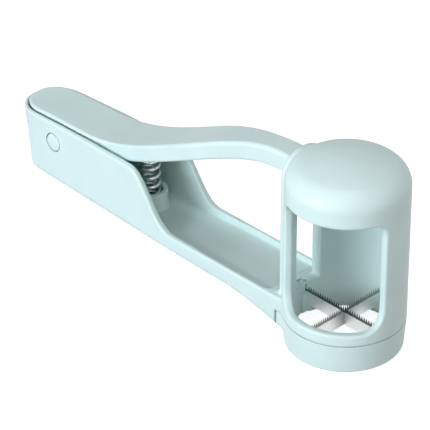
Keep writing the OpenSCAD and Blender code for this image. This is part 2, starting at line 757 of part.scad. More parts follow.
// Six-sided tube along a path
module tube(path, r) {
    n = len(path);
    s = 6;
    points = [for (i = [0:n - 1]) let (w = way(path, i), u = unit(cross(w, [0, 0, 1])), v = cross(u, w))
        for (k = [0:s - 1]) path[i] + r * (cos(360 * (k + 0.5) / s) * u + sin(360 * (k + 0.5) / s) * v)];
    walls = [for (i = [0:n - 2]) for (k = [0:s - 1]) let (l = (k + 1) % s) each [
        [i * s + k, i * s + l, (i + 1) * s + l],
        [i * s + k, (i + 1) * s + l, (i + 1) * s + k]]];
    caps = [for (k = [1:s - 2]) each [
        [0, k + 1, k],
        [(n - 1) * s, (n - 1) * s + k, (n - 1) * s + k + 1]]];
    polyhedron(points = points, faces = concat(walls, caps), convexity = 10);
}

// Least gap between the wire and any other turn of it, printed as a check
spring_gap = min([for (i = [0:len(spring_path) - 1])
    for (j = [i + rings_per_turn / 2:len(spring_path) - 1])
        norm(spring_path[i] - spring_path[j])]) - wire_d;
echo(spring_gap = spring_gap, work_pitch = work_pitch, squeeze_angle = squeeze_angle);

module return_spring() {
    color(wire_steel) translate([-spring_back, 0, 0]) tube(spring_path, wire_r);
}

body();
blade_ring();
blade_long();
blade_cross();
lever();
pusher();
pusher_screw();
return_spring();
pivot_pin();
pivot_cap_near();
pivot_cap_far();
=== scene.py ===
"""Dressed model of the tomato slicer: soft moulded surfaces, serrated blades, wound spring,
materials, light and camera. Sizes are in mm until mesh_piece() turns them into metres."""
import json
import math

import bpy
import numpy as np
from mathutils import Matrix, Vector

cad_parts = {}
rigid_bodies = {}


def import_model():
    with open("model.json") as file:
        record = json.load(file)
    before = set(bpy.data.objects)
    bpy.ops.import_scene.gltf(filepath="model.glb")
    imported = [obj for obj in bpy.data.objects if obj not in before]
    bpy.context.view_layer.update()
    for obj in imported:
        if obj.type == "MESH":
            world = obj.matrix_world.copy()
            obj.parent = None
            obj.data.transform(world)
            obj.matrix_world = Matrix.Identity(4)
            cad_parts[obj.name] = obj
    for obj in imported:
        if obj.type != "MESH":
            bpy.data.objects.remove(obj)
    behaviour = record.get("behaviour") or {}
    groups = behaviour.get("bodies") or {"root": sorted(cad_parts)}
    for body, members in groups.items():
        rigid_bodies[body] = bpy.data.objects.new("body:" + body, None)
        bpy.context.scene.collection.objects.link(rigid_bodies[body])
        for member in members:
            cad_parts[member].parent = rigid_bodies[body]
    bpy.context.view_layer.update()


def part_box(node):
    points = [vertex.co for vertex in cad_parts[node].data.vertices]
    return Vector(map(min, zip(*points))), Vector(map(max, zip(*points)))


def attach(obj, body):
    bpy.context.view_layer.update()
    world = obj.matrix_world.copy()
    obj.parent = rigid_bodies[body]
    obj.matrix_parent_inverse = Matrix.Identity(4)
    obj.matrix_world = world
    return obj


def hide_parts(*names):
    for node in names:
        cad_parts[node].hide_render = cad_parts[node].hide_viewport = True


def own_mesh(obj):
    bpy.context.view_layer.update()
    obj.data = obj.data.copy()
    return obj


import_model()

MM = 0.001
FIT = 0.05  # play between pieces that sit in each other

# ---------------------------------------------------------------- sizes, in mm
# Barrel, dome and window
BARREL_R, BARREL_WALL, DOME_TOP, SHOULDER_R, CROWN_R = 21.0, 3.0, 71.0, 7.4, 60.0
BORE_R = BARREL_R - BARREL_WALL
SHOULDER_Z = DOME_TOP - CROWN_R + math.sqrt(
    (CROWN_R - SHOULDER_R) ** 2 - (BARREL_R - SHOULDER_R) ** 2)
DOME_TIP = math.asin((BARREL_R - SHOULDER_R) / (CROWN_R - SHOULDER_R))
SILL_Z, WINDOW_TOP, WINDOW_SILL_R, WINDOW_HEAD_R = 15.0, 56.5, 7.5, 4.5
WINDOW_FROM, WINDOW_TO = math.radians(9), math.radians(125)

# Rear frame and its slot
FRAME_BACK, FRAME_HALF_W, FRAME_TOP, FRAME_CORNER_R, FRAME_EDGE_R = 21.2, 10.0, 67.0, 9.0, 0.8
SLOT_HALF_W, SLOT_FOOT_R, SLOT_TOP = 6.0, 2.0, 64.15

# Handle: plan, rim, underside and tray
HANDLE_HALF_W, REAR_HALF_W, HANDLE_BACK, HANDLE_CORNER_R = 13.05, 11.4, 156.6, 10.8
HANDLE_WALL, REAR_WALL, END_WALL, END_LONG = 2.4, 1.5, 1.25, 1.2
INNER_HALF_W, REAR_INNER_HALF_W = HANDLE_HALF_W - HANDLE_WALL, REAR_HALF_W - REAR_WALL
INNER_CORNER_R, INNER_BACK = HANDLE_CORNER_R - REAR_WALL, HANDLE_BACK - END_WALL
CORNER_START = HANDLE_BACK - HANDLE_CORNER_R
TRAY_RIM_Z, WALL_RIM_Z, REAR_FALL, REAR_FALL_START = 13.2, 32.2, 1.0, 118.0
TRAY_WIDER, TRAY_NARROWS, TRAY_NARROW_RUN = 0.7, 56.0, 22.0
SWEEP_START, SWEEP_RUN = 71.0, 24.0
REAR_SETBACK, RAKE_START, RAKE_RUN = 4.4, 141.0, 11.0
UNDER_FRONT_Z, UNDER_REAR_Z, UNDER_BEND, UNDER_DIVE = 5.5, 7.8, 47.0, 16.0
UNDER_R, RIM_R, REAR_RIM_R = 3.0, 0.7, 1.0
RECESS_FRONT, RECESS_CORNER_R, FLOOR_REAR_Z, FLOOR_FRONT_Z, FLOOR_R = 24.6, 1.8, 10.4, 11.5, 0.4

# Blade ring: parting line, tongue, spigot, key, lugs and outlet
RING_H, RING_DRAFT, RING_FOOT_R, SEAM, FLOOR_SEAM = 10.6, 0.7, 0.7, 0.2, 0.65
TONGUE_BACK, TONGUE_GAP, TONGUE_H, PARTING_RUN = 19.3, 0.9, 7.6, 5.5
SPIGOT_R, SPIGOT_TOP = 19.6, 13.2
KEY_W, KEY_REACH, KEY_H, KEY_SUNK, KEY_CORNER_R = 1.8, 1.5, 4.0, 0.5, 0.2
LUG_W, LUG_REACH, LUG_SUNK, LUG_LOW_Z, LUG_TOP_Z = 4.6, 0.9, 0.8, 2.5, 10.4
OUTLET_R, OUTLET_DEPTH = 19.2, 2.2

# Blades
BLADE_T, BLADE_TIP_T, BLADE_LOW_Z, BLADE_HALF, GROUND_Z = 0.5, 0.08, 5.7, 18.6, 10.7
TOOTH_ROOT_Z, TOOTH_H, TOOTH_COUNT, TOOTH_SHARE = 11.2, 1.7, 32, 0.72

# Lever
LEVER_REAR_TOP, LEVER_FRONT_TOP, LEVER_RISE_BACK, LEVER_RISE_FRONT = 33.4, 63.8, 120.0, 25.6
LEVER_DEPTH, NECK_HALF_W, GRIP_HALF_W, LEVER_GAP = 6.9, 4.9, 9.4, 0.6
LEVER_REAR_R, LEVER_TOP_R, LEVER_UNDER_R, LEVER_LIP, LEVER_UNDERCUT = 0.9, 1.5, 0.8, 1.2, 0.9
LEVER_NECK_FRONT = BORE_R / 2
GRIP_REAR, GRIP_FRONT, PADDLE_FRONT = 70.0, 29.5, 108.0
SQUEEZE = math.radians(17.5003)

# Pivot, spring, pusher and screw
PIVOT_BACK, PIVOT_Z, PIN_R, HUB_R = 133.6, 24.0, 2.0, 4.8
CAP_R, CAP_T, CAP_POCKET, CAP_GROOVE = 3.5, 0.8, 1.3, 0.42
SPRING_BACK, COIL_OUTER_R, WIRE_D, COIL_TURNS, END_TURNS, END_PITCH = 95.0, 3.9, 1.6, 4, 1, 1.8
CUP_R, CUP_TOP, CUP_FLOOR, CUP_PLAY = 6.2, 17.2, 11.2, 0.5
SEAT_DROP, SEAT_R, NUB_R, NUB_H = 0.4, 5.1, 1.4, 2.0
PUSHER_R, PUSHER_H, PUSHER_LOW_Z, PUSHER_SLOT_W, PUSHER_SLOT_H = 13.0, 9.0, 11.0, 2.4, 5.0
PUSHER_TOP_Z = PUSHER_LOW_Z + PUSHER_H
SHOE_H, SCREW_R, SCREW_HEAD_R, SCREW_HEAD_H = 4.5, 1.2, 2.3, 1.5
SCREW_GRIP = PUSHER_H - PUSHER_SLOT_H - SCREW_HEAD_H - FIT


# ---------------------------------------------------------------- outlines along the handle
def clamp01(t):
    return np.clip(t, 0.0, 1.0)


def smooth(t):
    c = clamp01(t)
    return c * c * (3 - 2 * c)


def smoother(t):
    c = clamp01(t)
    return c ** 3 * (c * (6 * c - 15) + 10)


def taper(x):
    """0 on the tray and 1 at the rear corners, where the handle is narrowest."""
    return clamp01((-x - SWEEP_START) / (CORNER_START - SWEEP_START))


def outer_half(x):
    return HANDLE_HALF_W + (REAR_HALF_W - HANDLE_HALF_W) * taper(x)


def inner_half(x):
    wider = TRAY_WIDER * (1 - smooth((-x - TRAY_NARROWS) / TRAY_NARROW_RUN))
    return INNER_HALF_W + (REAR_INNER_HALF_W - INNER_HALF_W) * taper(x) + wider


def rear_drop(x):
    return REAR_FALL * smooth((-x - REAR_FALL_START) / (HANDLE_BACK - REAR_FALL_START))


def rim_z(x):
    sweep = smoother((-x - SWEEP_START) / SWEEP_RUN)
    return TRAY_RIM_Z + (WALL_RIM_Z - TRAY_RIM_Z) * sweep - rear_drop(x)


def under_z(x):
    along = (-x - UNDER_BEND) / (HANDLE_BACK - UNDER_BEND)
    line = UNDER_FRONT_Z + (UNDER_REAR_Z - UNDER_FRONT_Z) * along
    return line * np.sin(math.pi / 2 * clamp01((-x - UNDER_DIVE) / (UNDER_BEND - UNDER_DIVE)))


def floor_z(x):
    forward = 1 - clamp01((-x - RECESS_FRONT) / (SWEEP_START - RECESS_FRONT))
    return FLOOR_REAR_Z + (FLOOR_FRONT_Z - FLOOR_REAR_Z) * forward


def lever_top_z(x):
    rise = smooth((x + LEVER_RISE_BACK) / (LEVER_RISE_BACK - LEVER_RISE_FRONT))
    return LEVER_REAR_TOP + (LEVER_FRONT_TOP - LEVER_REAR_TOP) * rise - rear_drop(x)


def lever_under_z(x):
    return lever_top_z(x) - LEVER_DEPTH


def lever_half(x):
    widens = smooth((-x - GRIP_FRONT) / (GRIP_REAR - GRIP_FRONT))
    neck = NECK_HALF_W + (GRIP_HALF_W - NECK_HALF_W) * widens
    fills = smooth((-x - GRIP_REAR) / (PADDLE_FRONT - GRIP_REAR))
    rear = GRIP_HALF_W + (inner_half(x) - LEVER_GAP - GRIP_HALF_W) * fills
    return np.where(-x < GRIP_REAR, neck, rear)


def parting_z(x):
    back = math.sqrt(BARREL_R ** 2 - HANDLE_HALF_W ** 2)
    return TONGUE_H + (RING_H - TONGUE_H) * smooth((x + back) / PARTING_RUN)


CAP_Y = float(outer_half(np.array(-PIVOT_BACK)))
HUB_Y = float(inner_half(np.array(-PIVOT_BACK))) - LEVER_GAP
SEAT_Z = float(lever_under_z(np.array(-SPRING_BACK))) - SEAT_DROP

# ---------------------------------------------------------------- signed distances
SLOPE_RUN = 1.0  # length over which a curve's slope is taken
LEAST_SCALE = 0.3  # least factor of the window's distance, which shrinks towards the axis


def above(height, x, z):
    """Distance above the curve height(x), negative below it."""
    rise = height(x + SLOPE_RUN / 2) - height(x - SLOPE_RUN / 2)
    return (z - height(x)) / np.hypot(1.0, rise / SLOPE_RUN)


def both(a, b, r=0.0):
    """Intersection of two solids whose common edge is rounded by r."""
    return np.minimum(np.maximum(a, b), -r) + np.hypot(np.maximum(a + r, 0), np.maximum(b + r, 0))


def either(a, b, r=0.0):
    """Union of two solids with a fillet of radius r."""
    return -both(-a, -b, r)


def without(a, b, r=0.0):
    """Solid a cut by b, with the edges of the cut rounded by r."""
    return both(a, -b, r)


def rounded(a, b, r):
    """Distance to a corner where a = 0 meets b = 0, rounded by r outside both."""
    return np.minimum(np.maximum(a, b), 0) + np.hypot(np.maximum(a, 0), np.maximum(b, 0)) - r


def round_rect(u, v, half_u, half_v, r):
    """Distance to a rectangle about the origin with corner radius r."""
    return rounded(np.abs(u) - (half_u - r), np.abs(v) - (half_v - r), r)


def plan(x, y, half, back, r, longer=0.0):
    """Distance to the handle's plan, open at the front, with round or elliptical rear corners."""
    return rounded((-x - (back - r - longer)) * r / (r + longer), np.abs(y) - (half - r), r)


def tube_z(x, y, z, cx, r, low, high, edge=0.0):
    """Distance to an upright cylinder about x = cx."""
    return both(np.hypot(x - cx, y) - r, np.maximum(low - z, z - high), edge)


def across(x, z):
    """Distance from the pivot's axis."""
    return np.hypot(x + PIVOT_BACK, z - PIVOT_Z)


def raked(x, z):
    """Undoes the lean of the rear end, whose foot stands in front of its rim."""
    lean = REAR_SETBACK * (WALL_RIM_Z - z) / (WALL_RIM_Z - UNDER_REAR_Z)
    return x - lean * smooth((-x - RAKE_START) / RAKE_RUN)


def squeezed(x, z):
    """The place that a point of the lever takes when it is fully squeezed."""
    a, b = x + PIVOT_BACK, z - PIVOT_Z
    c, s = math.cos(SQUEEZE), math.sin(SQUEEZE)
    return a * c + b * s - PIVOT_BACK, -a * s + b * c + PIVOT_Z


def dome(rho, z, inset):
    """Distance to the barrel with its dome, inset all round."""
    a, b = rho - (BARREL_R - SHOULDER_R), z - SHOULDER_Z
    wall = rho - (BARREL_R - inset)
    shoulder = np.hypot(a, b) - (SHOULDER_R - inset)
    crown = np.hypot(rho, z - (DOME_TOP - CROWN_R)) - (CROWN_R - inset)
    beyond = b * math.sin(DOME_TIP) - a * math.cos(DOME_TIP) > 0
    return np.where(b < 0, np.maximum(wall, crown), np.where(beyond, crown, shoulder))


def handle_solid(x, y, z):
    u = raked(x, z)
    side = plan(u, y, outer_half(u), HANDLE_BACK, HANDLE_CORNER_R, END_LONG)
    edge = RIM_R + (REAR_RIM_R - RIM_R) * smooth((-x - SWEEP_START) / SWEEP_RUN)
    solid = both(both(side, above(rim_z, u, z), edge), -above(under_z, u, z), UNDER_R)
    return np.maximum(solid, x + UNDER_DIVE - BARREL_WALL)


def recess_space(x, y, z):
    u = raked(x, z)
    rear = plan(u, y, inner_half(u), INNER_BACK, INNER_CORNER_R, END_LONG)
    front = plan(-u, y, inner_half(u), -RECESS_FRONT, RECESS_CORNER_R)
    return both(np.maximum(rear, front), -above(floor_z, u, z), FLOOR_R)


def window_space(x, y, z):
    rho = np.hypot(x, y)
    turn = np.arctan2(-y, x) - (WINDOW_FROM + WINDOW_TO) / 2
    turn = (turn + math.pi) % (2 * math.pi) - math.pi
    half = (WINDOW_TO - WINDOW_FROM) / 2 * BARREL_R
    mid = (SILL_Z + WINDOW_TOP) / 2
    r = np.where(z < mid, WINDOW_SILL_R, WINDOW_HEAD_R)
    d = round_rect(turn * BARREL_R, z - mid, half, WINDOW_TOP - mid, r)
    return d * np.clip(rho / BARREL_R, LEAST_SCALE, 1.0)


def slot_space(x, y, z):
    mid = (TRAY_RIM_Z + SLOT_TOP) / 2
    face = round_rect(y, z - mid, SLOT_HALF_W, SLOT_TOP - mid, SLOT_FOOT_R)
    return np.maximum(face, x + BORE_R / 2)


def below_parting(x, z, back, lift):
    return np.maximum(above(parting_z, x, z - lift), -x - back)


def key_space(x, y, z, play):
    low, high = SPIGOT_TOP - KEY_H - play, SPIGOT_TOP + play
    front, back = -SPIGOT_R + KEY_SUNK, -SPIGOT_R - KEY_REACH - play
    foot = round_rect(x - (front + back) / 2, y, (front - back) / 2, KEY_W / 2 + play, KEY_CORNER_R)
    return np.maximum(foot, np.maximum(low - z, z - high))


# ---------------------------------------------------------------- the four mouldings
FRAME_FILLET, HANDLE_FILLET, WINDOW_EDGE, SLOT_EDGE, CUT_EDGE = 0.5, 1.6, 0.9, 0.6, 0.2
TRAY_EDGE, CUP_EDGE, CUP_FILLET, CUP_SUNK, CUP_OPEN, CAP_EDGE = 0.3, 0.4, 0.8, 1.0, 9.0, 0.05


def body_field(x, y, z):
    rho = np.hypot(x, y)
    barrel = np.maximum(dome(rho, z, 0.0), TONGUE_H - z)
    arch = np.where(z > FRAME_TOP - FRAME_CORNER_R,
                    round_rect(y, z - FRAME_TOP + 2 * FRAME_CORNER_R,
                               FRAME_HALF_W, 2 * FRAME_CORNER_R, FRAME_CORNER_R),
                    np.abs(y) - FRAME_HALF_W)
    post = both(arch, -x - FRAME_BACK, FRAME_EDGE_R)
    post = np.maximum(post, np.maximum(x + BORE_R - BARREL_WALL, TONGUE_H - z))
    solid = either(barrel, post, FRAME_FILLET)
    solid = without(solid, slot_space(x, y, z), SLOT_EDGE)
    solid = either(solid, handle_solid(x, y, z), HANDLE_FILLET)
    solid = without(solid, recess_space(x, y, z), TRAY_EDGE)
    cup = tube_z(x, y, z, -SPRING_BACK, CUP_R, FLOOR_REAR_Z - CUP_SUNK, CUP_TOP, CUP_EDGE)
    solid = either(solid, cup, CUP_FILLET)
    well = tube_z(x, y, z, -SPRING_BACK, COIL_OUTER_R + CUP_PLAY, CUP_FLOOR, CUP_TOP + CUP_OPEN)
    solid = without(solid, well, CUP_EDGE)
    solid = without(solid, dome(rho, z, BARREL_WALL))
    solid = without(solid, window_space(x, y, z), WINDOW_EDGE)
    solid = without(solid, below_parting(x, z, TONGUE_BACK + TONGUE_GAP, SEAM), CUT_EDGE)
    groove = np.where(x < -BORE_R / 2, FLOOR_SEAM, SEAM)
    spigot = np.maximum(rho - SPIGOT_R - groove, z - SPIGOT_TOP)
    solid = np.maximum(solid, -np.minimum(spigot, key_space(x, y, z, FLOOR_SEAM)))
    pocket = both(across(x, z) - CAP_R - CAP_GROOVE / 2, CAP_Y - CAP_POCKET - np.abs(y))
    solid = without(solid, pocket, CAP_EDGE)
    return without(solid, across(x, z) - PIN_R - FIT)


TONGUE_FILLET, LUG_SIDE_R, LUG_END_R, LUG_FILLET, OUTLET_EDGE = 1.2, 0.3, 0.5, 0.3, 0.2


def ring_field(x, y, z):
    rho = np.hypot(x, y)
    outer = both(rho - BARREL_R + RING_DRAFT * (1 - z / RING_H), -z, RING_FOOT_R)
    wall = np.maximum(outer, z - RING_H)
    tongue = np.maximum(handle_solid(x, y, z), z - RING_H)
    solid = either(wall, tongue, TONGUE_FILLET)
    solid = both(solid, below_parting(x, z, TONGUE_BACK, 0.0), CUT_EDGE)
    spigot = np.maximum(rho - SPIGOT_R, np.maximum(TONGUE_H / 2 - z, z - SPIGOT_TOP))
    solid = np.minimum(solid, spigot)
    solid = np.maximum(solid, BORE_R - rho)
    aside = np.minimum(np.abs(x), np.abs(y))
    along = np.maximum(np.abs(x), np.abs(y))
    depth = np.maximum(BORE_R - LUG_REACH - along, rho - BORE_R - LUG_SUNK)
    lug = both(aside - LUG_W / 2, depth, LUG_SIDE_R)
    lug = both(lug, np.maximum(LUG_LOW_Z - z, z - LUG_TOP_Z), LUG_END_R)
    solid = either(solid, lug, LUG_FILLET)
    solid = np.minimum(solid, key_space(x, y, z, 0.0))
    solid = without(solid, np.maximum(rho - OUTLET_R, z - OUTLET_DEPTH), OUTLET_EDGE)
    seat = np.maximum(BLADE_LOW_Z - FIT - z, along - BLADE_HALF - FIT)
    return np.maximum(solid, -np.maximum(aside - BLADE_T / 2 - FIT, seat))


POCKET_CORNER_R, POCKET_FRONT_R, POCKET_ROOF_R, POCKET_EDGE = 6.0, 2.0, 0.6, 0.4
HUB_EDGE, HUB_FILLET, SEAT_EDGE, SEAT_FILLET = 0.4, 0.6, 0.3, 0.6
NUB_EDGE, NUB_FILLET, NUB_SUNK = 0.4, 0.3, 1.0
SHOE_EDGE, SHOE_FILLET, SHOE_SKIN = 0.4, 1.0, 1.0


def lever_field(x, y, z):
    u = raked(x, z)
    side = plan(u, y, lever_half(u), INNER_BACK - LEVER_GAP, INNER_CORNER_R - LEVER_GAP, END_LONG)
    inset = LEVER_UNDERCUT * smooth((-x - GRIP_REAR) / (PADDLE_FRONT - GRIP_REAR))
    side = np.where(above(lever_top_z, u, z) > -LEVER_LIP, side, side + inset)
    forward = smooth((x + PADDLE_FRONT) / (PADDLE_FRONT - GRIP_REAR))
    edge = LEVER_REAR_R + (LEVER_TOP_R - LEVER_REAR_R) * forward
    strip = both(side, above(lever_top_z, u, z), edge)
    strip = both(strip, -above(lever_under_z, u, z), LEVER_UNDER_R)
    strip = np.maximum(strip, x + LEVER_NECK_FRONT)

    roof = LEVER_REAR_TOP - REAR_FALL - HANDLE_WALL
    pocket = plan(u, y, REAR_INNER_HALF_W - LEVER_GAP - HANDLE_WALL,
                  INNER_BACK - LEVER_GAP - HANDLE_WALL, POCKET_CORNER_R)
    pocket = both(pocket, u + SPRING_BACK + 2 * COIL_OUTER_R, POCKET_FRONT_R)
    strip = without(strip, both(pocket, z - roof, POCKET_ROOF_R), POCKET_EDGE)

    hub = both(across(x, z) - HUB_R, np.abs(y) - HUB_Y, HUB_EDGE)
    solid = either(strip, hub, HUB_FILLET)
    seat = tube_z(x, y, z, -SPRING_BACK, SEAT_R, SEAT_Z, SEAT_Z + LEVER_DEPTH / 2, SEAT_EDGE)
    solid = either(solid, seat, SEAT_FILLET)
    nub = tube_z(x, y, z, -SPRING_BACK, NUB_R, SEAT_Z - NUB_H, SEAT_Z + NUB_SUNK, NUB_EDGE)
    solid = either(solid, nub, NUB_FILLET)

    # The shoe is square to the barrel when the lever is squeezed, so it is shaped in that pose
    sx, sz = squeezed(x, z)
    stadium = np.where(sx < 0, np.abs(y), np.hypot(sx, y)) - NECK_HALF_W
    shoe = both(stadium, np.maximum(PUSHER_TOP_Z - sz, sz - PUSHER_TOP_Z - SHOE_H), SHOE_EDGE)
    shoe = np.maximum(shoe, -sx - LEVER_NECK_FRONT)
    solid = either(solid, shoe, SHOE_FILLET)
    room = np.maximum(np.maximum(-sx - PUSHER_R - FIT, np.abs(y) - PUSHER_R), sz - PUSHER_TOP_Z)
    solid = np.maximum(solid, -room)
    solid = without(solid, across(x, z) - PIN_R - FIT)
    bore = np.maximum(np.hypot(sx, y) - SCREW_R - FIT, sz - PUSHER_TOP_Z - SHOE_H + SHOE_SKIN)
    return np.maximum(solid, -bore)


PUSHER_TOP_R, PUSHER_FOOT_R, PUSHER_SLOT_R, HEAD_EDGE = 1.6, 0.8, 0.5, 0.3


def pusher_field(x, y, z):
    sx, sz = squeezed(x, z)
    rho = np.hypot(sx, y)
    solid = both(rho - PUSHER_R, sz - PUSHER_TOP_Z, PUSHER_TOP_R)
    solid = both(solid, PUSHER_LOW_Z - sz, PUSHER_FOOT_R)
    arm = np.minimum(np.abs(sx), np.abs(y))
    slots = both(arm - PUSHER_SLOT_W / 2, sz - PUSHER_LOW_Z - PUSHER_SLOT_H, PUSHER_SLOT_R)
    solid = without(solid, slots, PUSHER_SLOT_R)
    head = np.maximum(rho - SCREW_HEAD_R - FIT, sz - PUSHER_TOP_Z + SCREW_GRIP)
    solid = without(solid, head, HEAD_EDGE)
    return np.maximum(solid, SCREW_R + FIT - rho)


# ---------------------------------------------------------------- meshes of the distances
CHUNK = 400_000  # points per call of a field
BLOCK = 6  # cells along the side of a block in the coarse pass
MARGIN = 2  # cells round the box
ROOT_STEPS, ROOT_RANGE = 4, (0.02, 0.98)  # root finding along a cell's edge
STEP_SHARE = 0.02  # share of a cell over which a slope is taken
PULL = 0.03  # pull of a vertex towards the middle of its crossings
NORMAL_STEP = 0.02  # mm over which a shading normal is taken
CORNER_SHARE, MIDDLE_SHARE = 0.7, 0.3  # where a face's corner is tested for a crisp edge
CREASE = math.cos(math.radians(30))
TINY = 1e-9


def sampled(field, points):
    out = np.empty(len(points))
    for i in range(0, len(points), CHUNK):
        p = points[i:i + CHUNK]
        out[i:i + CHUNK] = field(p[:, 0], p[:, 1], p[:, 2])
    return out


def slopes(field, points, step):
    """Unit gradient of the field."""
    g = np.empty((len(points), 3))
    for k in range(3):
        d = np.zeros(3)
        d[k] = step
        g[:, k] = sampled(field, points + d) - sampled(field, points - d)
    return g / np.maximum(np.linalg.norm(g, axis=1, keepdims=True), TINY)


def sampled_grid(field, low, shape, cell):
    """The field at the grid's points near the surface, and only its sign at the others."""
    blocks = -(-shape // BLOCK)
    centres = low + (np.indices(blocks).reshape(3, -1).T + 0.5) * BLOCK * cell
    rough = sampled(field, centres).reshape(blocks)

    def spread(a):
        for k in range(3):
            a = np.repeat(a, BLOCK, axis=k)
        return a[:shape[0], :shape[1], :shape[2]]

    near = spread(np.abs(rough) < 2 * BLOCK * cell)
    for k in range(3):
        near = near | np.roll(near, 1, axis=k)
    grid = spread(np.where(rough < 0, -cell, cell)).astype(float)
    grid[near] = sampled(field, low + np.argwhere(near) * cell)
    return grid


def crossings(field, grid, low, cell, axis):
    """Where the grid's edges along an axis cross the surface, and the four cells round each."""
    inside = grid < 0
    a, b = [slice(None)] * 3, [slice(None)] * 3
    a[axis], b[axis] = slice(0, -1), slice(1, None)
    start = np.argwhere(inside[tuple(a)] != inside[tuple(b)])
    step = np.zeros(3, int)
    step[axis] = 1
    g0, g1 = grid[tuple(start.T)], grid[tuple((start + step).T)]
    t0, t1 = np.zeros(len(start)), np.ones(len(start))
    origin = low + start * cell
    for _ in range(ROOT_STEPS):
        t = t0 + (t1 - t0) * np.clip(g0 / (g0 - g1), *ROOT_RANGE)
        g = sampled(field, origin + t[:, None] * step * cell)
        first = (g < 0) == (g0 < 0)
        t0, g0 = np.where(first, t, t0), np.where(first, g, g0)
        t1, g1 = np.where(first, t1, t), np.where(first, g1, g)
    t = t0 + (t1 - t0) * g0 / (g0 - g1)
    places = origin + t[:, None] * step * cell
    u, v = np.zeros(3, int), np.zeros(3, int)
    u[(axis + 1) % 3] = v[(axis + 2) % 3] = 1
    ring = np.stack([start - u - v, start - v, start, start - u], axis=1)
    flip = inside[tuple(start.T)]
    ring = np.where(flip[:, None, None], ring, ring[:, ::-1])
    quads = (ring[..., 0] * grid.shape[1] + ring[..., 1]) * grid.shape[2] + ring[..., 2]
    return quads, places


def contour(field, low, high, cell):
    """Vertices and quads of the field's zero surface, with crisp edges kept."""
    low = np.array(low, float) - MARGIN * cell
    shape = np.ceil((np.array(high, float) + MARGIN * cell - low) / cell).astype(int) + 1
    grid = sampled_grid(field, low, shape, cell)
    found = [crossings(field, grid, low, cell, axis) for axis in range(3)]
    quads, places = (np.concatenate(part) for part in zip(*found))
    normals = np.repeat(slopes(field, places, cell * STEP_SHARE), 4, axis=0)
    places = np.repeat(places, 4, axis=0)
    used, index = np.unique(quads.ravel(), return_inverse=True)
    count = np.bincount(index)

    def total(values):
        return np.bincount(index, weights=values)

    # Each vertex is where the planes through its cell's crossings meet best
    mean = np.stack([total(places[:, k]) for k in range(3)], axis=1) / count[:, None]
    reach = np.einsum("ij,ij->i", normals, places - mean[index])
    side = np.stack([total(normals[:, k] * reach) for k in range(3)], axis=1)
    square = np.empty((len(used), 3, 3))
    for i in range(3):
        for j in range(3):
            square[:, i, j] = total(normals[:, i] * normals[:, j])
    square += np.eye(3) * PULL * count[:, None, None]
    shift = np.linalg.solve(square, side[..., None])[..., 0]
    corner = low + np.stack(np.unravel_index(used, tuple(shape)), axis=1) * cell
    return np.clip(mean + shift, corner, corner + cell), np.searchsorted(used, quads)


def corner_normals(field, verts, faces, step):
    """Normals at the faces' corners: smooth over the surface and split at crisp edges."""
    at_vertex = slopes(field, verts, step)[faces]
    middle = verts[faces].mean(axis=1, keepdims=True)
    near = verts[faces] * CORNER_SHARE + middle * MIDDLE_SHARE
    at_corner = slopes(field, near.reshape(-1, 3), step).reshape(at_vertex.shape)
    agree = np.einsum("ijk,ijk->ij", at_vertex, at_corner) > CREASE
    return np.where(agree[..., None], at_vertex, at_corner)


def mesh_piece(name, verts, faces, material, normals=None, smooth_faces=True):
    """Adds a mesh from vertices in mm, with the normals of its faces' corners where given."""
    mesh = bpy.data.meshes.new(name)
    mesh.from_pydata((np.asarray(verts) * MM).tolist(), [], [list(map(int, f)) for f in faces])
    mesh.polygons.foreach_set("use_smooth", [smooth_faces] * len(mesh.polygons))
    if normals is not None:
        mesh.normals_split_custom_set(normals.reshape(-1, 3).tolist())
    mesh.update()
    piece = bpy.data.objects.new(name, mesh)
    bpy.context.collection.objects.link(piece)
    mesh.materials.append(material)
    return piece


def moulded(name, field, node, cell, material):
    """A moulding's surface, kept inside the box of the node that it stands for."""
    low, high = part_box(node)
    low, high = np.array(low) / MM, np.array(high) / MM
    verts, faces = contour(field, low, high, cell)
    verts = np.clip(verts, low, high)
    normals = corner_normals(field, verts, faces, NORMAL_STEP)
    return mesh_piece(name, verts, faces, material, normals)


# ---------------------------------------------------------------- materials
LOW_STOP, HIGH_STOP = 0.3, 0.7  # where a noise starts and ends in a colour ramp
TONE_SCALE, TONE_VARY = 55.0, 0.012
GLOSS_SCALE, PLASTIC_ROUGH, PLASTIC_IOR = 240.0, (0.40, 0.48), 1.46
SKIN_SCALE, SKIN_BUMP, SKIN_DEPTH = 2600.0, 0.08, 0.0002
SOFT_DETAIL, GRAIN_DETAIL, GRAIN_ROUGH, GRAIN_DEPTH = 2.0, 3.0, 0.6, 0.0001
PAINTED_REFLECTION_REACH = 0.009  # metres from the barrel's axis to where the painted dark reflection on the cross blade ends and the blade is bright
WHITE = (1.0, 1.0, 1.0)


def linear(*srgb):
    """The linear values that a shader takes for sRGB ones."""
    return tuple(c / 12.92 if c <= 0.04045 else ((c + 0.055) / 1.055) ** 2.4 for c in srgb)


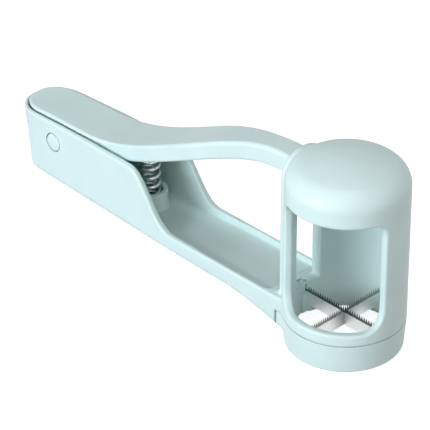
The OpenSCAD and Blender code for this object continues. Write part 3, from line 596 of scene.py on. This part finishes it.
class Shade:
    """A node material under construction, with one Principled shader."""

    def __init__(self, name):
        self.material = bpy.data.materials.new(name)
        self.material.use_nodes = True
        self.tree = self.material.node_tree
        self.shader = self.tree.nodes["Principled BSDF"]
        self.place = self.node("ShaderNodeTexCoord").outputs["Object"]

    def node(self, kind, **values):
        """Adds a node and sets its inputs or, where it has no such input, its own settings."""
        made = self.tree.nodes.new(kind)
        for key, value in values.items():
            socket = made.inputs.get(key.replace("_", " "))
            if socket is None:
                setattr(made, key, value)
            else:
                socket.default_value = value
        return made

    def link(self, out, into):
        self.tree.links.new(out, into)

    def drive(self, name, out):
        """Lets a node's output drive one of the shader's inputs."""
        self.link(out, self.shader.inputs[name])

    def set(self, **values):
        for key, value in values.items():
            self.shader.inputs[key.replace("_", " ")].default_value = value

    def noise(self, scale, detail, roughness=0.5, stretch=None):
        made = self.node("ShaderNodeTexNoise", Scale=scale, Detail=detail, Roughness=roughness)
        source = self.place
        if stretch:
            mapping = self.node("ShaderNodeMapping", Scale=stretch)
            self.link(self.place, mapping.inputs["Vector"])
            source = mapping.outputs["Vector"]
        self.link(source, made.inputs["Vector"])
        return made.outputs["Fac"]

    def ramp(self, source, dark, light, stops=(LOW_STOP, HIGH_STOP)):
        made = self.node("ShaderNodeValToRGB")
        for element, at, colour in zip(made.color_ramp.elements, stops, (dark, light)):
            element.position = at
            element.color = (*colour, 1.0)
        self.link(source, made.inputs["Fac"])
        return made.outputs["Color"]

    def span(self, source, low, high):
        made = self.node("ShaderNodeMapRange", To_Min=low, To_Max=high)
        self.link(source, made.inputs["Value"])
        return made.outputs["Result"]

    def bump(self, height, strength, distance):
        made = self.node("ShaderNodeBump", Strength=strength, Distance=distance)
        self.link(height, made.inputs["Height"])
        self.drive("Normal", made.outputs["Normal"])

    def paint_dark_reflection_near_axis(self, colour, tone):
        """Paints a dark reflection: multiplies a colour by a tone at the barrel's axis, which fades
        out around it.
        """
        flat = self.node("ShaderNodeMapping", Scale=(1.0, 1.0, 0.0))
        self.link(self.place, flat.inputs["Vector"])
        away = self.node("ShaderNodeVectorMath", operation="LENGTH")
        self.link(flat.outputs["Vector"], away.inputs[0])
        share = self.node("ShaderNodeMapRange", interpolation_type="SMOOTHSTEP",
                          From_Max=PAINTED_REFLECTION_REACH)
        self.link(away.outputs["Value"], share.inputs["Value"])
        fade = self.ramp(share.outputs["Result"], linear(tone, tone, tone), WHITE, (0.0, 1.0))
        mix = self.node("ShaderNodeMix", data_type="RGBA", blend_type="MULTIPLY", Factor=1.0)
        self.link(colour, mix.inputs["A"])
        self.link(fade, mix.inputs["B"])
        return mix.outputs["Result"]


def plastic_material(name, colour):
    shade = Shade(name)
    light = tuple(c + TONE_VARY for c in colour)
    dark = tuple(c - TONE_VARY for c in colour)
    tone = shade.noise(TONE_SCALE, SOFT_DETAIL)
    shade.drive("Base Color", shade.ramp(tone, linear(*dark), linear(*light)))
    gloss = shade.noise(GLOSS_SCALE, SOFT_DETAIL)
    shade.drive("Roughness", shade.span(gloss, *PLASTIC_ROUGH))
    shade.set(IOR=PLASTIC_IOR)
    shade.bump(shade.noise(SKIN_SCALE, SOFT_DETAIL), SKIN_BUMP, SKIN_DEPTH)
    return shade.material


def steel_material(name, colour, rough, stretch, scale, depth, relief, painted_dark_reflection=None):
    """Steel whose grain, drawn out by stretch, darkens it to depth and lifts it by relief. Where a
    tone is given for it, the colour is also painted darker around the barrel's axis as a dark
    reflection.
    """
    shade = Shade(name)
    grain = shade.noise(scale, GRAIN_DETAIL, GRAIN_ROUGH, stretch)
    dark = tuple(c * depth for c in colour)
    base = shade.ramp(grain, linear(*dark), linear(*colour))
    # Painted dark reflection: the colour is darkened around the barrel's axis.
    if painted_dark_reflection is not None:
        base = shade.paint_dark_reflection_near_axis(base, painted_dark_reflection)
    shade.drive("Base Color", base)
    shade.drive("Roughness", shade.span(grain, *rough))
    shade.set(Metallic=1.0)
    shade.bump(grain, relief, GRAIN_DEPTH)
    return shade.material


# How a grain is drawn out: the smaller the number, the longer it is along that axis
UPRIGHT, LEVEL = (0.1, 0.1, 1.0), (1.0, 1.0, 0.1)
EVEN, CROSSWISE = (1.0, 1.0, 1.0), (1.0, 0.1, 1.0)

PLASTIC = plastic_material("moulded_plastic", (0.785, 0.875, 0.865))
PLASTIC_INNER = plastic_material("pusher_plastic", (0.75, 0.84, 0.83))
BLADE = steel_material("blade_steel", (0.98, 0.98, 0.98), rough=(0.40, 0.48),
                       stretch=UPRIGHT, scale=3000.0, depth=0.95, relief=0.01)
# The cross blade's colour is painted darker around the lap joint, standing in for the dark
# reflections there.
CROSS_BLADE = steel_material("cross_blade_steel", (0.98, 0.98, 0.98), rough=(0.36, 0.44),
                             stretch=UPRIGHT, scale=3000.0, depth=0.95, relief=0.01, painted_dark_reflection=0.66)
BEVEL = steel_material("ground_edge_steel", (0.52, 0.53, 0.52), rough=(0.16, 0.28),
                       stretch=LEVEL, scale=3000.0, depth=0.85, relief=0.03)
# Painted light: the cross blade's ground edge is the same steel as the long blade's, but is given a
# lighter colour for the brighter reflection it shows.
CROSS_BEVEL = steel_material("cross_edge_steel", (0.70, 0.70, 0.69), rough=(0.2, 0.3),
                             stretch=LEVEL, scale=3000.0, depth=0.85, relief=0.03)
WIRE = steel_material("spring_wire_steel", (0.88, 0.90, 0.90), rough=(0.24, 0.32),
                      stretch=EVEN, scale=500.0, depth=0.94, relief=0.01)
PIN = steel_material("pin_steel", (0.6, 0.6, 0.61), rough=(0.2, 0.35),
                     stretch=CROSSWISE, scale=900.0, depth=0.86, relief=0.06)

# ---------------------------------------------------------------- moulded pieces
FINAL_CELLS, QUICK_CELLS = (0.6, 0.36, 0.5, 0.4), (0.9, 0.55, 0.8, 0.6)
BODY_CELL, RING_CELL, LEVER_CELL, PUSHER_CELL = FINAL_CELLS

body = moulded("moulded_body", body_field, "body", BODY_CELL, PLASTIC)
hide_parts("body")
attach(body, "housing")

ring = moulded("moulded_blade_ring", ring_field, "blade_ring", RING_CELL, PLASTIC)
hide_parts("blade_ring")
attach(ring, "housing")

lever = moulded("moulded_lever", lever_field, "lever", LEVER_CELL, PLASTIC)
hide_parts("lever")
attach(lever, "lever")

pusher = moulded("moulded_pusher", pusher_field, "pusher", PUSHER_CELL, PLASTIC_INNER)
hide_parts("pusher")
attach(pusher, "lever")

# ---------------------------------------------------------------- blades
LAP = BLADE_T / 2 + FIT  # half the width of the slot in which the blades lap each other
LAP_CLEAR = 0.02  # least distance from that slot to a tooth's corner
ROOT_THIN = 0.25  # how far the ground edge has thinned at the teeth's roots
ROWS = 3  # vertices up each side of the strip


def tooth_profile():
    """The blade's upper edge: teeth with flat gullets between them."""
    start = -(BORE_R - LUG_REACH)
    pitch = -2 * start / TOOTH_COUNT
    reach = TOOTH_SHARE * pitch / 2
    profile = [(-BLADE_HALF, TOOTH_ROOT_Z)]
    for i in range(TOOTH_COUNT):
        tip = start + (i + 0.5) * pitch
        profile += [(tip - reach, TOOTH_ROOT_Z), (tip, TOOTH_ROOT_Z + TOOTH_H),
                    (tip + reach, TOOTH_ROOT_Z)]
    profile.append((BLADE_HALF, TOOTH_ROOT_Z))
    return profile


def blade_piece(name, node, turned, slot_up):
    """Serrated strip: a flat band, a ground band that thins upwards, and pointed teeth."""
    half_t, tip_half_t = BLADE_T / 2, BLADE_TIP_T / 2
    profile = tooth_profile()

    def height(x):
        for (x0, z0), (x1, z1) in zip(profile, profile[1:]):
            if x0 <= x <= x1:
                return z0 + (z1 - z0) * (x - x0) / (x1 - x0)

    left = [c for c in profile if c[0] < -LAP - LAP_CLEAR] + [(-LAP, height(-LAP))]
    right = [(LAP, height(LAP))] + [c for c in profile if c[0] > LAP + LAP_CLEAR]
    verts, faces = [], []

    def column(x, top):
        """The vertices of both sides at x, and the first one's number."""
        thinned = ROOT_THIN + (1 - ROOT_THIN) * (top - TOOTH_ROOT_Z) / TOOTH_H
        top_t = half_t - (half_t - tip_half_t) * thinned
        rows = [(BLADE_LOW_Z, half_t), (GROUND_Z, half_t), (top, top_t)]
        first = len(verts)
        verts.extend([(x, -t, z) for z, t in rows] + [(x, t, z) for z, t in rows])
        return first

    for columns in (left, right):
        starts = [column(x, top) for x, top in columns]
        for a, b in zip(starts, starts[1:]):
            for k in range(ROWS - 1):
                faces.append((a + k, b + k, b + k + 1, a + k + 1))
                faces.append((a + ROWS + k, a + ROWS + k + 1, b + ROWS + k + 1, b + ROWS + k))
            faces.append((a, a + ROWS, b + ROWS, b))
            faces.append((a + ROWS - 1, b + ROWS - 1, b + 2 * ROWS - 1, a + 2 * ROWS - 1))
        for s, flip in ((starts[0], False), (starts[-1], True)):
            for k in range(ROWS - 1):
                f = (s + k, s + k + 1, s + ROWS + k + 1, s + ROWS + k)
                faces.append(f[::-1] if flip else f)

    # The half-height bridge between the two halves, in the other blade's slot
    mid_z = (BLADE_LOW_Z + TOOTH_ROOT_Z) / 2 + (-FIT if slot_up else FIT)
    low, high = (BLADE_LOW_Z, mid_z) if slot_up else (mid_z, TOOTH_ROOT_Z)
    b = len(verts)
    for x in (-LAP, LAP):
        for z in (low, high):
            verts.extend([(x, -half_t, z), (x, half_t, z)])
    faces.extend([(b, b + 4, b + 6, b + 2), (b + 1, b + 3, b + 7, b + 5),
                  (b, b + 1, b + 5, b + 4), (b + 2, b + 6, b + 7, b + 3),
                  (b, b + 2, b + 3, b + 1), (b + 4, b + 5, b + 7, b + 6)])
    verts = np.array(verts)
    if turned:
        verts = np.stack([-verts[:, 1], verts[:, 0], verts[:, 2]], axis=1)
    flat, ground = (CROSS_BLADE, CROSS_BEVEL) if turned else (BLADE, BEVEL)
    piece = mesh_piece(name, verts, faces, flat, smooth_faces=False)
    piece.data.materials.append(ground)
    for f in piece.data.polygons:
        if f.center.z > GROUND_Z * MM:
            f.material_index = 1
    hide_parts(node)
    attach(piece, "housing")


blade_piece("serrated_blade_long", "blade_long", turned=False, slot_up=True)
blade_piece("serrated_blade_cross", "blade_cross", turned=True, slot_up=False)

# ---------------------------------------------------------------- spring
WIRE_R = WIRE_D / 2
COIL_R = COIL_OUTER_R - WIRE_R
COIL_LOW = CUP_FLOOR + WIRE_R + FIT
COIL_RISE = SEAT_Z - WIRE_R - FIT - COIL_LOW
COIL_START = math.radians(170)
ALL_TURNS = COIL_TURNS + 2 * END_TURNS
WORK_PITCH = (COIL_RISE - 2 * END_PITCH * END_TURNS) / COIL_TURNS
WIRE_SIDES, STEPS_PER_TURN = 12, 48
BLEND_STEPS, BLENDS_PER_TURN = 3, 24  # the pitch is averaged over an eighth of a turn each way


def coil_rise(t):
    """Height after t turns: close end turns and open working turns between them."""
    if t < END_TURNS:
        return END_PITCH * t
    if t < END_TURNS + COIL_TURNS:
        return END_PITCH * END_TURNS + WORK_PITCH * (t - END_TURNS)
    return COIL_RISE - END_PITCH * (ALL_TURNS - t)


def spring_piece():
    count = ALL_TURNS * STEPS_PER_TURN
    blends = range(-BLEND_STEPS, BLEND_STEPS + 1)
    path = []
    for i in range(count + 1):
        t = i / STEPS_PER_TURN
        rises = [coil_rise(min(max(t + d / BLENDS_PER_TURN, 0), ALL_TURNS)) for d in blends]
        a = COIL_START + 2 * math.pi * t
        path.append((COIL_R * math.cos(a) - SPRING_BACK, COIL_R * math.sin(a),
                     COIL_LOW + sum(rises) / len(blends)))
    path = np.array(path)
    ways = np.gradient(path, axis=0)
    ways /= np.linalg.norm(ways, axis=1, keepdims=True)
    circle = 2 * math.pi * np.arange(WIRE_SIDES)[:, None] / WIRE_SIDES
    rings = []
    for p, w in zip(path, ways):
        u = np.cross(w, (0, 0, 1.0))
        u /= np.linalg.norm(u)
        v = np.cross(u, w)
        rings.append(p + WIRE_R * (np.cos(circle) * u + np.sin(circle) * v))
    faces = []
    for i in range(count):
        a, b = i * WIRE_SIDES, (i + 1) * WIRE_SIDES
        for k in range(WIRE_SIDES):
            m = (k + 1) % WIRE_SIDES
            faces.append((a + k, a + m, b + m, b + k))
    faces.append(tuple(range(WIRE_SIDES))[::-1])
    faces.append(tuple(count * WIRE_SIDES + k for k in range(WIRE_SIDES)))
    return mesh_piece("wound_return_spring", np.concatenate(rings), faces, WIRE)


spring = spring_piece()
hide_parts("return_spring")
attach(spring, "housing")
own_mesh(spring)

# ---------------------------------------------------------------- pivot caps, pin and screw
CAP_SIDES, CAP_RIM, CAP_RIM_MIDDLE = 96, 0.18, 0.3


def cap_piece(node, side):
    """Flush round cap with a softened rim, in the pocket of the handle's side wall."""
    r, mid = CAP_R - CAP_GROOVE / 2, CAP_RIM * CAP_RIM_MIDDLE
    rim = [(r - CAP_RIM, 0), (r - mid, mid), (r, CAP_RIM), (r, CAP_T)]
    verts = [(-PIVOT_BACK, side * (CAP_Y - depth), PIVOT_Z) for depth in (0, CAP_T)]
    for i in range(CAP_SIDES):
        a = 2 * math.pi * i / CAP_SIDES
        verts += [(-PIVOT_BACK + out * math.cos(a), side * (CAP_Y - depth),
                   PIVOT_Z + out * math.sin(a)) for out, depth in rim]
    faces, count = [], len(rim)
    for i in range(CAP_SIDES):
        a, b = 2 + i * count, 2 + (i + 1) % CAP_SIDES * count
        rows = [(0, a, b)] + [(a + k, a + k + 1, b + k + 1, b + k) for k in range(count - 1)]
        rows.append((1, b + count - 1, a + count - 1))
        faces += [f if side < 0 else f[::-1] for f in rows]
    piece = mesh_piece("moulded_" + node, verts, faces, PLASTIC)
    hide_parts(node)
    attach(piece, "housing")


cap_piece("pivot_cap_near", -1)
cap_piece("pivot_cap_far", 1)

for part in bpy.data.objects:
    if part.name in ("pivot_pin", "pusher_screw"):
        part.data.materials.clear()
        part.data.materials.append(PIN)

# ---------------------------------------------------------------- floor and sky
FLOOR_HALF = 4.0  # metres
FLOOR_DARK, FLOOR_LIGHT, FLOOR_SCALE, FLOOR_DETAIL = (0.38,) * 3, (0.42,) * 3, 3.0, 1.0
FLOOR_ROUGH, FLOOR_GLOW = 0.9, 0.85
SKY, GROUND, HORIZON_LOW, HORIZON_HIGH = 0.36, 0.14, -0.15, 0.25
SKY_TINT = (1.04, 0.985, 0.985, 1.0)

f = FLOOR_HALF
floor_mesh = bpy.data.meshes.new("floor")
floor_mesh.from_pydata([(-f, -f, 0), (f, -f, 0), (f, f, 0), (-f, f, 0)], [], [(0, 1, 2, 3)])
floor = bpy.data.objects.new("floor", floor_mesh)
bpy.context.collection.objects.link(floor)
floor.visible_diffuse = False
floor_shade = Shade("lit_white_table")
floor_tone = floor_shade.noise(FLOOR_SCALE, FLOOR_DETAIL)
floor_shade.drive("Base Color", floor_shade.ramp(floor_tone, FLOOR_DARK, FLOOR_LIGHT))
floor_shade.set(Roughness=FLOOR_ROUGH, Emission_Color=(*WHITE, 1.0), Emission_Strength=FLOOR_GLOW)
floor_mesh.materials.append(floor_shade.material)

world = bpy.data.worlds.new("studio")
bpy.context.scene.world = world
world.use_nodes = True
tree = world.node_tree
direction = tree.nodes.new("ShaderNodeTexCoord")
split = tree.nodes.new("ShaderNodeSeparateXYZ")
level = tree.nodes.new("ShaderNodeMapRange")
level.interpolation_type = "SMOOTHSTEP"
for name, value in (("From Min", HORIZON_LOW), ("From Max", HORIZON_HIGH),
                    ("To Min", GROUND), ("To Max", SKY)):
    level.inputs[name].default_value = value
tree.links.new(direction.outputs["Generated"], split.inputs["Vector"])
tree.links.new(split.outputs["Z"], level.inputs["Value"])
tree.links.new(level.outputs["Result"], tree.nodes["Background"].inputs["Strength"])
tree.nodes["Background"].inputs["Color"].default_value = SKY_TINT
bpy.context.scene.view_settings.view_transform = "Standard"

# ---------------------------------------------------------------- lights and camera, in metres
STUDIO_CENTRE, LIGHT_AWAY = Vector((-0.06, 0.0, 0.03)), 1.0
KEY_COLOUR = (0.955, 1.0, 1.085)
SENSOR_W, LENS = 36.0, 246.04
CAMERA_RIGHT = Vector((0.6977, 0.7164, 0.0))
CAMERA_BACK = Vector((0.6028, -0.5871, 0.5402))
CAMERA_PLACE = Vector((0.5526, -0.5989, 0.5717))


def area_light(name, toward, level, size, colour=WHITE):
    """A square softbox that gives the object the light level on a face square to it."""
    data = bpy.data.lights.new(name, "AREA")
    data.shape = "SQUARE"
    data.size = size
    data.energy = level * math.pi ** 2 * LIGHT_AWAY ** 2
    data.color = colour
    light = bpy.data.objects.new(name, data)
    toward = Vector(toward).normalized()
    light.location = STUDIO_CENTRE + LIGHT_AWAY * toward
    light.rotation_euler = toward.to_track_quat("Z", "Y").to_euler()
    bpy.context.collection.objects.link(light)


area_light("key", toward=(-0.12, -1.02, 0.24), level=0.98, size=0.6, colour=KEY_COLOUR)
area_light("top", toward=(0.0, 0.0, 1.0), level=0.26, size=0.4)
area_light("side_fill", toward=(1.0, 0.0, 0.2), level=0.25, size=0.7)
area_light("front_fill", toward=(0.6, -0.59, 0.54), level=0.14, size=0.7)

data = bpy.data.cameras.new("camera")
data.sensor_width = SENSOR_W
data.lens = LENS
camera = bpy.data.objects.new("camera", data)
back = CAMERA_BACK.normalized()
right = (CAMERA_RIGHT - back * CAMERA_RIGHT.dot(back)).normalized()
up = back.cross(right)
turned = Matrix((right, up, back)).transposed().to_4x4()
camera.matrix_world = Matrix.Translation(CAMERA_PLACE) @ turned
bpy.context.collection.objects.link(camera)
bpy.context.scene.camera = camera
